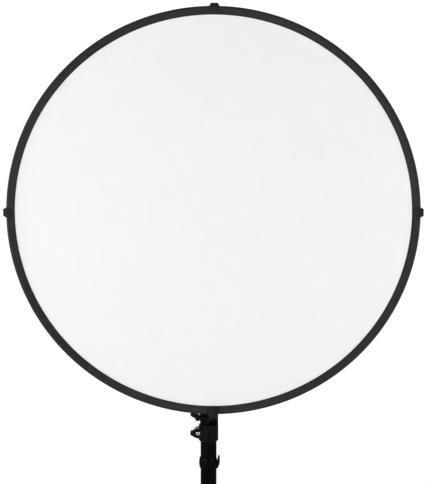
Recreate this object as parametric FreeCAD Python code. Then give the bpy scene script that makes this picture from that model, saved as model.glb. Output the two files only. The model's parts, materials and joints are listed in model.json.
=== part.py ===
import FreeCAD, Part
import math
import os

# A round collapsible reflector, held at its lowest point by a rim clamp on a tilt head,
# on top of a short telescopic riser that ends in a socket for a light-stand stud.
# Millimetres, +Z up. The white face looks along -Y, and +X is to the viewer's right.
# The origin is on the riser's axis, in the mouth of the stand socket.

V = FreeCAD.Vector
X = V(1, 0, 0)
Y = V(0, 1, 0)
Z = V(0, 0, 1)

# --- Clearances ---------------------------------------------------------------------
slide_gap = 0.08        # radial, between a shaft and the bore that it turns or slides in
rest_gap = 0.3          # between flat faces that move apart or past each other
cut_over = 1.0          # how far a cutting tool runs past the face that it opens

# --- Reflector disc -----------------------------------------------------------------
disc_diameter = 820.0   # over the edge binding
band_width = 16.0       # edge binding, from its fold to its inner seam
band_thickness = 9.6    # at the fold, over the hoop
seam_thickness = 3.0    # at the inner seam
tape_thickness = 0.9    # the folded tape itself
fold_radius = 2.4       # rounding of the fold's two corners
band_arcs = 8           # equal arcs that the binding is turned in
fabric_thickness = 0.45
fabric_gap = 0.2        # between the two sheets
fabric_overlap = 3.0    # how far the sheets reach in under the tape
hoop_thickness = 1.2    # radial
hoop_side_gap = 0.4     # between the hoop's edges and the tape
hoop_play = 0.3         # between the hoop and the fold
sleeve_length = 60.0
sleeve_wall = 0.25

# --- Webbing tabs -------------------------------------------------------------------
tab_base = 19.5         # along the rim, where the tab leaves it
tab_tip = 14.5          # along the rim, at its outer end
tab_reach = 6.0         # beyond the rim
tab_tip_thickness = 3.4
webbing = 1.0           # thickness of the legs sewn on the band
tab_leg = 13.0          # how far the legs reach in over the band
sewn_gap = 0.05

# --- Stand socket -------------------------------------------------------------------
socket_diameter = 16.2  # takes a 5/8 in stud
socket_depth = 42.0
base_lip = 2.0          # how far the receiver stands out past the tube
base_height = 46.0
spigot_height = 16.0    # plug inside the outer tube
base_edge = 2.0
base_screw_z = 22.0
base_screw_diameter = 8.0
base_boss_diameter = 19.0
base_boss_reach = 24.0  # from the axis
base_shoe_length = 2.4
base_shoe_set_back = 0.3
base_knob_stand_off = 6.0
base_hub_diameter = 16.0
base_hub_length = 13.0
base_bar_diameter = 8.0
base_bar_length = 48.0

# --- Riser --------------------------------------------------------------------------
tube_diameter = 32.0
tube_wall = 1.5
tube_length = 254.6
inner_diameter = 26.0
inner_wall = 1.5
inner_lift = 4.0        # lower end of the inner tube above the spigot
guide_bush_height = 16.0
tube_screw_diameter = 4.0
tube_screw_depth = 7.0
tube_screw_head = 7.0
tube_screw_head_height = 1.8
top_bush_depth = 22.0   # below the tube's top
top_bush_flange = 3.0
top_bush_flange_step = 0.5  # the flange is this much smaller than the tube, on the radius

# --- Lock collar --------------------------------------------------------------------
collar_height = 22.5
collar_grip = 17.0      # length on the outer tube
collar_end_wall = 1.2   # at its two ends
collar_belly_wall = 3.0 # half way up
collar_lip_gap = 0.7    # between the bore at its top and the inner tube
collar_screw_diameter = 4.0
notch_wall = 0.8        # left between the tube and the floor of the lever's notch
shoulder_drop = 5.2     # the collar is lower than its top beside the lever's arm
shoulder_half_width = 12.0
window_half_height = 5.0
cheek_thickness = 3.0
cheek_out = 3.8         # beyond the tube
cheek_half_height = 6.5
pivot_out = 2.6         # the cam lever's pin beyond the tube
pivot_drop = 16.0       # the pin below the collar's top
lever_pin_diameter = 3.0
cam_radius = 3.0
cam_throw = 0.3
cam_lever_width = 9.4
cam_lever_depth = 3.6   # of the arm, outwards from the pin
cam_lever_rise = 1.9    # of its arm above the collar's top
cam_lever_heel = 1.2    # how far the arm's outer face slopes in at its foot

# --- Riser cap and stud -------------------------------------------------------------
cap_height = 31.9
cap_socket = 16.0
cap_pin_diameter = 4.0
stud_diameter = 15.9
stud_height = 33.0
stud_tail_diameter = 10.0
stud_tail_length = 8.0
stud_groove_diameter = 12.6
stud_groove_low = 11.0
stud_groove_high = 21.0
stud_edge = 1.5
cap_edge = 1.0

# --- Receiver barrel and tilt joint -------------------------------------------------
barrel_diameter = 39.0
barrel_height = 35.6
barrel_low_edge = 3.0
barrel_top_edge = 1.0
lug_radius = 13.0
lug_half_depth = 10.0   # of the web under the fixed lug
lug_left = -16.6        # outer face of the fixed lug
lug_right = 19.2        # outer face of the tilting lug
joint_gap = 1.2         # between the two lugs
bolt_diameter = 6.0
bolt_head_diameter = 11.0
bolt_head_height = 3.6
bolt_head_recess = 4.0
friction_disc_thickness = 1.1
friction_disc_diameter = 24.0
lever_washer_thickness = 1.0
lever_washer_diameter = 15.0

# --- Pinch screw of the barrel ------------------------------------------------------
pinch_x = -20.8
pinch_drop = 15.3       # below the barrel's top
ear_radius = 8.0
ear_half_depth = 10.0
slit_width = 2.0
slit_roof = 2.5
pinch_diameter = 5.8
pinch_washer_thickness = 1.0
pinch_washer_diameter = 15.0
pinch_hub_radius = 10.6
pinch_hub_thickness = 7.6
pinch_head_diameter = 8.4
pinch_head_height = 2.6
pinch_nut_flats = 10.0
pinch_nut_height = 5.0
spot_face_room = 0.8    # round the lever's hub and the nut, where the barrel is faced off
paddle_outer = -36.2    # left face of the paddle
paddle_inner = -31.6
paddle_half_height = 4.6
paddle_back = -7.0      # y of the paddle's far end
paddle_rounding = 2.0

# --- Tilt lever ---------------------------------------------------------------------
lever_hub_radius = 7.0
lever_hub_length = 8.5
lever_outer = -36.2     # left face of the arm
lever_inner = -28.4
lever_heel_z = 4.4      # where the arm's outer face starts, above the bolt
lever_tip_z = 46.0      # above the bolt
lever_half_depth = 4.6
lever_hub_step = 0.7    # the arm is this much inside the hub, above and below
lever_crown = 0.3       # rise of the arm's round tip, for its width
lever_neck = 2.5        # straight length of the arm at the hub
insert_diameter = 10.0
insert_length = 6.5

# --- Rim clamp ----------------------------------------------------------------------
rim_above_tilt = 12.5   # lowest point of the disc above the bolt
disc_y = -22.0          # middle plane of the disc
pad_thickness = 1.0
jaw_plate = 2.6
jaw_width = 19.0
jaw_over_rim = 14.8     # how far the front jaw reaches up over the band
jaw_under_rim = 7.2     # how far it hangs below the rim
jaw_rounding = 2.0
jaw_screw_diameter = 3.0
jaw_screw_head = 5.2
jaw_screw_head_height = 1.5
jaw_screw_depth = 9.0
jaw_screw_spacing = 10.0
saddle_gap = 0.3        # between the bracket's foot and the rim
jaw_travel = 5.0
rear_jaw_plate = 4.0
rear_jaw_half_angle = 7.0
rear_jaw_margin = 0.8   # the rear jaw stays this far inside the band's edges
rear_wall = 8.4
wall_over_screw = 10.0  # height of the wall above the clamp screw
wide_wall_gap = 1.4     # between the lugs and the wide part of the wall
wide_wall_half = 17.5
knob_over_lug = 0.5     # between the lugs and the knob
clamp_screw_diameter = 6.0
clamp_seat_depth = 2.4  # the screw's end in the rear jaw
guide_pin_diameter = 4.0
guide_pin_spacing = 24.0
guide_pin_seat = 2.5
guide_pin_proud = 0.6   # behind the wall
knob_diameter = 17.0
knob_length = 9.0
knob_stand_off = 0.4
knob_flutes = 10
knob_flute_radius = 2.0
knob_blind = 2.0        # solid end of the knob behind the screw

# --- Worked out from the values above -----------------------------------------------
socket_r = socket_diameter / 2
base_r = tube_diameter / 2 + base_lip
tube_r = tube_diameter / 2
tube_bore_r = tube_r - tube_wall
inner_r = inner_diameter / 2
tube_top = base_height + tube_length
collar_bottom = tube_top - collar_grip
collar_top = collar_bottom + collar_height
collar_waist_r = tube_r + collar_end_wall
collar_belly_r = tube_r + collar_belly_wall
collar_lip_r = inner_r + collar_lip_gap
notch_floor = tube_r + notch_wall
cheek_reach = tube_r + cheek_out
pivot_x = tube_r + pivot_out
cam_lever_outer = pivot_x + cam_lever_depth
pivot_z = collar_top - pivot_drop
notch_half_width = cam_lever_width / 2 + rest_gap
cheek_outer_y = notch_half_width + cheek_thickness
inner_bottom = base_height + spigot_height + inner_lift
cap_bottom = collar_top + rest_gap
cap_top = cap_bottom + cap_height
stud_r = stud_diameter / 2
barrel_bottom = cap_top + rest_gap
barrel_top = barrel_bottom + barrel_height
pinch_z = barrel_top - pinch_drop
tilt_z = barrel_top + lug_radius
bolt_r = bolt_diameter / 2
half_joint = joint_gap / 2
disc_x = (half_joint + lug_right) / 2
disc_r = disc_diameter / 2
disc_z = tilt_z + rim_above_tilt + disc_r
disc_centre = V(disc_x, disc_y, disc_z)
half_band = band_thickness / 2
half_seam = seam_thickness / 2
hoop_half_width = half_band - tape_thickness - hoop_side_gap
front_pad_face = disc_y - half_band - rest_gap
jaw_back = front_pad_face - pad_thickness
rear_pad_face = disc_y + half_band + rest_gap
rear_jaw_front = rear_pad_face + pad_thickness
rear_jaw_back = rear_jaw_front + rear_jaw_plate
wall_front = rear_jaw_back + jaw_travel + rest_gap
wall_back = wall_front + rear_wall
jaw_top = rim_above_tilt + jaw_over_rim
jaw_bottom = rim_above_tilt - jaw_under_rim
foot_top = rim_above_tilt - saddle_gap
clamp_z = tilt_z + lug_radius + knob_over_lug + knob_diameter / 2
wide_wall_low = tilt_z + lug_radius + wide_wall_gap
wall_top = clamp_z + wall_over_screw
clamp_screw_r = clamp_screw_diameter / 2
knob_front = wall_back + knob_stand_off
base_screw_r = base_screw_diameter / 2
shoe_front = socket_r + base_shoe_set_back


# --- Helpers ------------------------------------------------------------------------
def box(x_range, y_range, z_range):
    size = [high - low for low, high in (x_range, y_range, z_range)]
    return Part.makeBox(size[0], size[1], size[2], V(x_range[0], y_range[0], z_range[0]))


def upright(radius, low, high, x=0.0, y=0.0):
    """A cylinder along Z."""
    return Part.makeCylinder(radius, high - low, V(x, y, low), Z)


def along_x(radius, low, high, y, z):
    return Part.makeCylinder(radius, high - low, V(low, y, z), X)


def along_y(radius, low, high, x, z):
    return Part.makeCylinder(radius, high - low, V(x, low, z), Y)


def outline(start, steps, place):
    """A flat face. A step is the next corner, or a (middle, end) pair for an arc."""
    edges = []
    here = start
    for step in steps + [start]:
        if isinstance(step[0], tuple):
            middle, end = step
            edges.append(Part.Arc(place(*here), place(*middle), place(*end)).toShape())
        else:
            end = step
            if end == here:
                continue
            edges.append(Part.LineSegment(place(*here), place(*end)).toShape())
        here = end
    return Part.Face(Part.Wire(edges))


def plate_xz(start, steps, y_low, y_high):
    """A plate of the given outline in X and Z, between two depths."""
    face = outline(start, steps, lambda x, z: V(x, y_low, z))
    return face.extrude(Y * (y_high - y_low))


def plate_yz(start, steps, x_low, x_high):
    face = outline(start, steps, lambda y, z: V(x_low, y, z))
    return face.extrude(X * (x_high - x_low))


def turned(start, steps):
    """A solid turned about the Z axis from an outline in radius and height."""
    face = outline(start, steps, lambda r, z: V(r, 0, z))
    return face.revolve(V(0, 0, 0), Z, 360)


def ring(start, steps, turn=360.0, middle=0.0):
    """A solid swept round the disc's own axis from an outline in radius and depth.

    The turn is centred on an angle from the disc's lowest point.
    """
    face = outline(start, steps, lambda r, y: V(disc_x, disc_y + y, disc_z - r))
    face.rotate(disc_centre, Y, middle - turn / 2)
    return face.revolve(disc_centre, Y, turn)


def edges_where(shape, test):
    return [edge for edge in shape.Edges if test(edge)]


def runs_along(edge, axis):
    if edge.Curve.TypeId != "Part::GeomLine":
        return False
    return abs(abs(edge.Curve.Direction.dot(axis)) - 1) < 1e-6


def is_circle_at(edge, radius, z):
    if edge.Curve.TypeId != "Part::GeomCircle":
        return False
    low_enough = abs(edge.BoundBox.ZMin - z) < 1e-6 and abs(edge.BoundBox.ZMax - z) < 1e-6
    return low_enough and abs(edge.Curve.Radius - radius) < 1e-6


def chamfered_circle(shape, radius, z, size):
    return shape.makeChamfer(size, edges_where(shape, lambda edge: is_circle_at(edge, radius, z)))


# --- Stand socket -------------------------------------------------------------------
def base_receiver():
    body = upright(base_r, 0, base_height)
    body = chamfered_circle(body, base_r, 0, base_edge)
    body = body.fuse(upright(tube_bore_r, base_height, base_height + spigot_height))
    body = body.fuse(along_x(base_boss_diameter / 2, 0, base_boss_reach, 0, base_screw_z))
    body = body.cut(upright(socket_r, -cut_over, socket_depth))
    body = body.cut(along_x(base_screw_r + slide_gap, 0, base_boss_reach + cut_over, 0, base_screw_z))
    return body.cut(tube_screw_shanks()).removeSplitter()


def tube_screw_shanks():
    z = base_height + spigot_height / 2
    low = tube_r - tube_screw_depth
    front = along_y(tube_screw_diameter / 2, -tube_r, -low, 0, z)
    back = along_y(tube_screw_diameter / 2, low, tube_r, 0, z)
    return Part.makeCompound([front, back])


def tube_screws():
    z = base_height + spigot_height / 2
    front, back = tube_screw_shanks().Solids
    head_r = tube_screw_head / 2
    front_head = along_y(head_r, -tube_r - tube_screw_head_height, -tube_r, 0, z)
    back_head = along_y(head_r, tube_r, tube_r + tube_screw_head_height, 0, z)
    return Part.makeCompound([front.fuse(front_head), back.fuse(back_head)])


def base_shoe():
    return along_x(base_screw_r, shoe_front, shoe_front + base_shoe_length, 0, base_screw_z)


def base_screw():
    start = shoe_front + base_shoe_length + rest_gap
    end = base_boss_reach + base_knob_stand_off + base_hub_length / 2
    return along_x(base_screw_r, start, end, 0, base_screw_z)


def base_knob():
    start = base_boss_reach + base_knob_stand_off
    end = start + base_hub_length
    bar_x = end - base_bar_diameter / 2
    half_bar = base_bar_length / 2
    hub = along_x(base_hub_diameter / 2, start, end, 0, base_screw_z)
    bar = along_y(base_bar_diameter / 2, -half_bar, half_bar, bar_x, base_screw_z)
    for side in (-1, 1):
        bar = bar.fuse(Part.makeSphere(base_bar_diameter / 2, V(bar_x, side * half_bar, base_screw_z)))
    return hub.fuse(bar).cut(base_screw()).removeSplitter()


# --- Riser tubes --------------------------------------------------------------------
def shoe_window():
    """The opening for the brake shoe, through the collar, tube and bush."""
    return box((0, notch_floor + cut_over), (-notch_half_width, notch_half_width),
               (pivot_z - window_half_height, pivot_z + window_half_height))


def outer_tube():
    tube = upright(tube_r, base_height, tube_top).cut(upright(tube_bore_r, base_height, tube_top))
    return tube.cut(tube_screw_shanks()).cut(shoe_window())


def top_bush():
    low = tube_top - top_bush_depth
    flange_top = tube_top + top_bush_flange
    bush = upright(tube_bore_r, low, tube_top)
    bush = bush.fuse(upright(tube_r - top_bush_flange_step, tube_top, flange_top))
    bush = bush.cut(upright(inner_r + slide_gap, low - cut_over, flange_top + cut_over))
    return bush.cut(shoe_window()).removeSplitter()


def inner_tube():
    top = cap_bottom + cap_socket
    tube = upright(inner_r, inner_bottom, top)
    tube = tube.cut(upright(inner_r - inner_wall, inner_bottom, top))
    return tube.cut(cap_pin())


def guide_bush():
    top = inner_bottom + guide_bush_height
    bush = upright(tube_bore_r - slide_gap, inner_bottom, top)
    return bush.cut(upright(inner_r, inner_bottom, top))


# --- Lock collar --------------------------------------------------------------------
def lock_collar():
    belly = (collar_belly_r, (collar_bottom + collar_top) / 2)
    lip_z = tube_top + top_bush_flange
    collar = turned((tube_r, collar_bottom),
                    [(collar_waist_r, collar_bottom), (belly, (collar_waist_r, collar_top)),
                     (collar_lip_r, collar_top), (collar_lip_r, lip_z), (tube_r, lip_z)])
    low = pivot_z - cheek_half_height
    high = pivot_z + cheek_half_height
    cheeks = box((0, cheek_reach), (-cheek_outer_y, cheek_outer_y), (low, high))
    outer_edges = edges_where(cheeks, lambda edge: runs_along(edge, Y) and edge.BoundBox.XMin > inner_r)
    cheeks = cheeks.makeFillet(cheek_thickness, outer_edges)
    cheeks = cheeks.cut(upright(tube_r, low - cut_over, high + cut_over))
    collar = collar.fuse(cheeks)
    collar = collar.cut(box((notch_floor, cheek_reach + cut_over), (-notch_half_width, notch_half_width),
                            (collar_bottom - cut_over, collar_top + cut_over)))
    collar = collar.cut(box((tube_r, cheek_reach), (-shoulder_half_width, shoulder_half_width),
                            (collar_top - shoulder_drop, collar_top + cut_over)))
    collar = collar.cut(shoe_window())
    collar = collar.cut(lever_pin())
    return collar.cut(collar_screw()).removeSplitter()


def lever_pin():
    return along_y(lever_pin_diameter / 2, -cheek_outer_y, cheek_outer_y, pivot_x, pivot_z)


def collar_screw():
    """Grub screw at the back, which holds the collar on the tube."""
    return along_y(collar_screw_diameter / 2, tube_r, collar_belly_r, 0, pivot_z)


def brake_shoe():
    """Nylon block between the cam and the inner tube."""
    high = window_half_height - rest_gap
    half_width = notch_half_width - rest_gap
    outer = pivot_x - cam_throw - cam_radius - rest_gap
    block = box((inner_r / 2, outer), (-half_width, half_width), (pivot_z - high, pivot_z + high))
    return block.cut(upright(inner_r + slide_gap, pivot_z - 2 * high, pivot_z + 2 * high))


def collar_lever():
    half_width = cam_lever_width / 2
    top = collar_top + cam_lever_rise
    heel = pivot_z + cam_radius / 2
    outer = cam_lever_outer
    inner = pivot_x
    tip_arc = ((outer + inner) / 2, top + (outer - inner) / 4)
    arm = plate_xz((inner, pivot_z - cam_radius),
                   [(outer - cam_lever_heel, heel - cam_radius), (outer, heel), (outer, top),
                    (tip_arc, (inner, top))],
                   -half_width, half_width)
    cam = along_y(cam_radius, -half_width, half_width, pivot_x - cam_throw, pivot_z)
    lever = arm.fuse(cam)
    bore = along_y(lever_pin_diameter / 2 + slide_gap, -half_width, half_width, pivot_x, pivot_z)
    return lever.cut(bore).removeSplitter()


# --- Riser cap and stud -------------------------------------------------------------
def cap_pin():
    return along_x(cap_pin_diameter / 2, -tube_r, tube_r, 0, cap_bottom + cap_socket / 2)


def riser_cap():
    cap = upright(tube_r, cap_bottom, cap_top)
    cap = chamfered_circle(cap, tube_r, cap_top, cap_edge)
    cap = cap.cut(upright(inner_r, cap_bottom, cap_bottom + cap_socket))
    cap = cap.cut(upright(stud_tail_diameter / 2, cap_top - stud_tail_length, cap_top))
    return cap.cut(cap_pin())


def head_stud():
    top = cap_top + stud_height
    groove_r = stud_groove_diameter / 2
    slope = stud_r - groove_r
    low = cap_top + stud_groove_low
    high = cap_top + stud_groove_high
    tail_r = stud_tail_diameter / 2
    return turned((0, cap_top - stud_tail_length),
                  [(tail_r, cap_top - stud_tail_length), (tail_r, cap_top), (stud_r, cap_top),
                   (stud_r, low), (groove_r, low + slope), (groove_r, high - slope), (stud_r, high),
                   (stud_r, top - stud_edge), (stud_r - stud_edge, top), (0, top)])


# --- Receiver barrel ----------------------------------------------------------------
def receiver_body():
    radius = barrel_diameter / 2
    barrel = upright(radius, barrel_bottom, barrel_top)
    barrel = chamfered_circle(barrel, radius, barrel_bottom, barrel_low_edge)
    barrel = chamfered_circle(barrel, radius, barrel_top, barrel_top_edge)
    lug = along_x(lug_radius, lug_left, -half_joint, 0, tilt_z)
    web = box((lug_left, -half_joint), (-lug_half_depth, lug_half_depth),
              (barrel_top - barrel_top_edge, tilt_z))
    ear = along_y(ear_radius, -ear_half_depth, ear_half_depth, pinch_x, pinch_z)
    bridge = box((pinch_x, -socket_r), (-ear_half_depth, ear_half_depth),
                 (pinch_z - ear_radius, pinch_z + ear_radius))
    spot_front = along_y(pinch_hub_radius + spot_face_room, -radius, -ear_half_depth, pinch_x, pinch_z)
    spot_back = along_y(pinch_nut_flats / 2 + 2 * spot_face_room, ear_half_depth, radius, pinch_x, pinch_z)
    body = barrel.fuse([lug, web, ear, bridge]).cut([spot_front, spot_back])
    body = body.cut(upright(stud_r + slide_gap, barrel_bottom - cut_over, cap_top + stud_height + rest_gap))
    slit = box((pinch_x - ear_radius - cut_over, 0), (-slit_width / 2, slit_width / 2),
               (barrel_bottom - cut_over, barrel_top - slit_roof))
    body = body.cut(slit)
    body = body.cut(along_x(bolt_r + slide_gap, lug_left - cut_over, 0, 0, tilt_z))
    hole_end = ear_half_depth + cut_over
    body = body.cut(along_y(pinch_diameter / 2 + slide_gap, -hole_end, hole_end, pinch_x, pinch_z))
    return body.removeSplitter()


def lever_washer():
    low = lug_left - lever_washer_thickness
    washer = along_x(lever_washer_diameter / 2, low, lug_left, 0, tilt_z)
    return washer.cut(along_x(bolt_r + slide_gap, low, lug_left, 0, tilt_z))


def pinch_washer():
    low = -ear_half_depth - pinch_washer_thickness
    washer = along_y(pinch_washer_diameter / 2, low, -ear_half_depth, pinch_x, pinch_z)
    return washer.cut(along_y(pinch_diameter / 2 + slide_gap, low, -ear_half_depth, pinch_x, pinch_z))


def pinch_nut():
    corner = pinch_nut_flats / 2 / math.cos(math.pi / 6)
    corners = []
    for step in range(6):
        angle = math.pi / 3 * step
        corners.append((pinch_x + corner * math.cos(angle), pinch_z + corner * math.sin(angle)))
    high = ear_half_depth + pinch_nut_height
    nut = plate_xz(corners[0], corners[1:], ear_half_depth, high)
    return nut.cut(along_y(pinch_diameter / 2 + slide_gap, ear_half_depth, high, pinch_x, pinch_z))


def pinch_screw():
    """Bright screw through the lever, the washer, both ears and the nut."""
    hub_front = -ear_half_depth - pinch_washer_thickness - rest_gap - pinch_hub_thickness
    shank = along_y(pinch_diameter / 2, hub_front, ear_half_depth + pinch_nut_height, pinch_x, pinch_z)
    head_r = pinch_head_diameter / 2
    head = along_y(head_r, hub_front - pinch_head_height, hub_front, pinch_x, pinch_z)
    front_edge = edges_where(head, lambda e: e.BoundBox.YMax < hub_front - pinch_head_height / 2)
    head = head.makeFillet(pinch_head_height / 2, front_edge)
    return head.fuse(shank).removeSplitter()


def pinch_lever():
    """Paddle lever: a round hub in front of the ear and an arm that turns back beside it."""
    hub_back = -ear_half_depth - pinch_washer_thickness - rest_gap
    hub_front = hub_back - pinch_hub_thickness
    lean = math.asin((pinch_hub_radius - paddle_half_height) / (pinch_x - paddle_outer))
    touch_x = pinch_x - pinch_hub_radius * math.sin(lean)
    touch_z = pinch_hub_radius * math.cos(lean)
    corner_x = paddle_outer + paddle_rounding
    hub = along_y(pinch_hub_radius, hub_front, hub_back, pinch_x, pinch_z)
    arm = plate_xz((touch_x, pinch_z - touch_z),
                   [(touch_x, pinch_z + touch_z), (corner_x, pinch_z + paddle_half_height),
                    (paddle_outer, pinch_z + paddle_half_height - paddle_rounding),
                    (paddle_outer, pinch_z - paddle_half_height + paddle_rounding),
                    (corner_x, pinch_z - paddle_half_height)], hub_front, hub_back)
    paddle = box((paddle_outer, paddle_inner), (hub_front, paddle_back),
                 (pinch_z - paddle_half_height, pinch_z + paddle_half_height))
    paddle = paddle.makeFillet(paddle_rounding, edges_where(paddle, lambda e: runs_along(e, Y)))
    lever = hub.fuse([arm, paddle])
    lever = lever.cut(box((paddle_outer - cut_over, paddle_inner), (hub_back, paddle_back + cut_over),
                          (pinch_z + paddle_half_height, pinch_z + pinch_hub_radius + cut_over)))
    return lever.cut(pinch_screw()).removeSplitter()


# --- Tilting body and its lever -----------------------------------------------------
def tilt_body():
    """Tilting lug, the foot under the rim and the wall that the clamp screw runs in."""
    bottom = tilt_z + jaw_bottom
    lug = along_x(lug_radius, half_joint, lug_right, 0, tilt_z)
    foot = box((half_joint, lug_right), (jaw_back, 0), (bottom, tilt_z + foot_top))
    wall = box((half_joint, lug_right), (wall_front, wall_back), (tilt_z, wall_top))
    wide = box((disc_x - wide_wall_half, disc_x + wide_wall_half), (wall_front, wall_back),
               (wide_wall_low, wall_top))
    wide = wide.makeFillet(rear_wall / 3, edges_where(wide, lambda e: runs_along(e, Y)))
    body = lug.fuse([foot, wall, wide])
    outside = lug_right + cut_over
    body = body.cut(along_x(bolt_r, 0, outside, 0, tilt_z))
    body = body.cut(along_x(bolt_head_diameter / 2, lug_right - bolt_head_recess, outside, 0, tilt_z))
    ahead = wall_front - cut_over
    behind = wall_back + cut_over
    body = body.cut(along_y(clamp_screw_r + slide_gap, ahead, behind, disc_x, clamp_z))
    for x in guide_pin_places():
        body = body.cut(along_y(guide_pin_diameter / 2 + slide_gap, ahead, behind, x, clamp_z))
    return body.cut(front_jaw_screws()).removeSplitter()


def tilt_bolt():
    head_low = lug_right - bolt_head_recess
    head = along_x(bolt_head_diameter / 2, head_low, head_low + bolt_head_height, 0, tilt_z)
    return head.fuse(along_x(bolt_r, lever_hub_inner() - insert_length, head_low, 0, tilt_z)).removeSplitter()


def friction_disc():
    low = half_joint - friction_disc_thickness
    disc = along_x(friction_disc_diameter / 2, low, half_joint, 0, tilt_z)
    return disc.cut(along_x(bolt_r, low, half_joint, 0, tilt_z))


def lever_hub_inner():
    """The face of the tilt lever that looks at its washer."""
    return lug_left - lever_washer_thickness - rest_gap


def tilt_lever():
    """Hub on the bolt, and an arm that leans outwards and then rises behind the disc."""
    inner = lever_hub_inner()
    hub = along_x(lever_hub_radius, inner - lever_hub_length, inner, 0, tilt_z)
    low = tilt_z - lever_hub_radius + lever_hub_step
    high = tilt_z + lever_hub_radius - lever_hub_step
    tip = tilt_z + lever_tip_z
    crown = ((lever_outer + lever_inner) / 2, tip + (lever_inner - lever_outer) * lever_crown)
    arm = plate_xz((inner, low),
                   [(lever_outer, tilt_z + lever_heel_z), (lever_outer, tip), (crown, (lever_inner, tip)),
                    (lever_inner, tilt_z + 2 * lever_hub_radius), (inner - lever_neck, high), (inner, high)],
                   -lever_half_depth, lever_half_depth)
    lever = hub.fuse(arm).removeSplitter()
    return lever.cut(along_x(insert_diameter / 2, inner - insert_length, inner + cut_over, 0, tilt_z))


def lever_insert():
    inner = lever_hub_inner()
    insert = along_x(insert_diameter / 2, inner - insert_length, inner, 0, tilt_z)
    return insert.cut(along_x(bolt_r + slide_gap, inner - insert_length, inner, 0, tilt_z))


# --- Rim clamp ----------------------------------------------------------------------
def jaw_block(y_low, y_high, low, high):
    """A plate of the front jaw's width with rounded corners."""
    plate = box((disc_x - jaw_width / 2, disc_x + jaw_width / 2), (y_low, y_high),
                (tilt_z + low, tilt_z + high))
    return plate.makeFillet(jaw_rounding, edges_where(plate, lambda e: runs_along(e, Y)))


def front_jaw():
    return jaw_block(jaw_back - jaw_plate, jaw_back, jaw_bottom, jaw_top).cut(front_jaw_screws())


def front_jaw_pad():
    return jaw_block(jaw_back, front_pad_face, rim_above_tilt, jaw_top)


def front_jaw_screws():
    """Two countersunk screws through the front jaw into the foot."""
    z = tilt_z + (jaw_bottom + foot_top) / 2
    front = jaw_back - jaw_plate
    screws = []
    for side in (-1, 1):
        x = disc_x + side * jaw_screw_spacing / 2
        shank = along_y(jaw_screw_diameter / 2, front, front + jaw_screw_depth, x, z)
        head = Part.makeCone(jaw_screw_head / 2, jaw_screw_diameter / 2, jaw_screw_head_height,
                             V(x, front, z), Y)
        screws.append(head.fuse(shank).removeSplitter())
    return Part.makeCompound(screws)


def guide_pin_places():
    return [disc_x + side * guide_pin_spacing / 2 for side in (-1, 1)]


def guide_pins():
    """Two pins fixed in the rear jaw, which slide in the wall."""
    pins = []
    for x in guide_pin_places():
        pins.append(along_y(guide_pin_diameter / 2, rear_jaw_back - guide_pin_seat,
                            wall_back + guide_pin_proud, x, clamp_z))
    return Part.makeCompound(pins)


def rear_arc(y_low, y_high, margin):
    """A curved bar behind the band, between two depths."""
    inner = disc_r - band_width + margin
    outer = disc_r - margin
    turn = 2 * rear_jaw_half_angle
    return ring((inner, y_low - disc_y),
                [(outer, y_low - disc_y), (outer, y_high - disc_y), (inner, y_high - disc_y)], turn)


def rear_jaw():
    bar = rear_arc(rear_jaw_front, rear_jaw_back, rear_jaw_margin)
    seat = along_y(clamp_screw_r + slide_gap, rear_jaw_back - clamp_seat_depth - rest_gap,
                   rear_jaw_back + cut_over, disc_x, clamp_z)
    return bar.cut(seat).cut(guide_pins())


def rear_jaw_pad():
    return rear_arc(rear_pad_face, rear_jaw_front, 2 * rear_jaw_margin)


def clamp_screw():
    end = knob_front + knob_length - knob_blind
    return along_y(clamp_screw_r, rear_jaw_back - clamp_seat_depth, end, disc_x, clamp_z)


def clamp_knob():
    radius = knob_diameter / 2
    knob = along_y(radius, knob_front, knob_front + knob_length, disc_x, clamp_z)
    for step in range(knob_flutes):
        angle = 2 * math.pi * step / knob_flutes
        reach = radius + knob_flute_radius / 2
        flute = along_y(knob_flute_radius, knob_front - cut_over, knob_front + knob_length + cut_over,
                        disc_x + reach * math.cos(angle), clamp_z + reach * math.sin(angle))
        knob = knob.cut(flute)
    return knob.cut(clamp_screw())


# --- Reflector disc -----------------------------------------------------------------
def band_outer(grow=0.0):
    """The edge binding's outer outline, from its front seam round the fold to its back seam."""
    fold = disc_r + grow
    side = half_band + grow
    flat_start = disc_r - 2 * fold_radius
    seam = disc_r - band_width - grow
    bulge = fold_radius * (1 - math.sqrt(0.5))
    corner = fold - fold_radius
    return [(seam, -half_seam - grow), (flat_start, -side), (corner, -side),
            ((fold - bulge, -side + bulge), (fold, -side + fold_radius)), (fold, side - fold_radius),
            ((fold - bulge, side - bulge), (corner, side)),
            (flat_start, side), (seam, half_seam + grow)]


def band_solid(grow=0.0):
    """The edge binding's outer form, filled, and larger all round by grow."""
    points = band_outer(grow)
    return ring(points[0], points[1:])


def edge_binding():
    """Tape folded over the hoop, with a channel inside that is open at the seam.

    It is turned in equal arcs and joined, which keeps every length of it alike.
    """
    seam = disc_r - band_width
    inside = half_band - tape_thickness
    inside_seam = half_seam - tape_thickness
    flat_start = disc_r - 2 * fold_radius
    floor = disc_r - tape_thickness
    outer = band_outer()
    inner = [(seam, inside_seam), (flat_start, inside), (floor, inside),
             (floor, -inside), (flat_start, -inside), (seam, -inside_seam)]
    turn = 360.0 / band_arcs
    arcs = [ring(outer[0], outer[1:] + inner, turn, k * turn) for k in range(band_arcs)]
    return arcs[0].fuse(arcs[1:])


def hoop_outer():
    return disc_r - tape_thickness - hoop_play


def hoop():
    outer = hoop_outer()
    inner = outer - hoop_thickness
    half = hoop_half_width
    return ring((inner, -half), [(outer, -half), (outer, half), (inner, half)])


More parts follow.
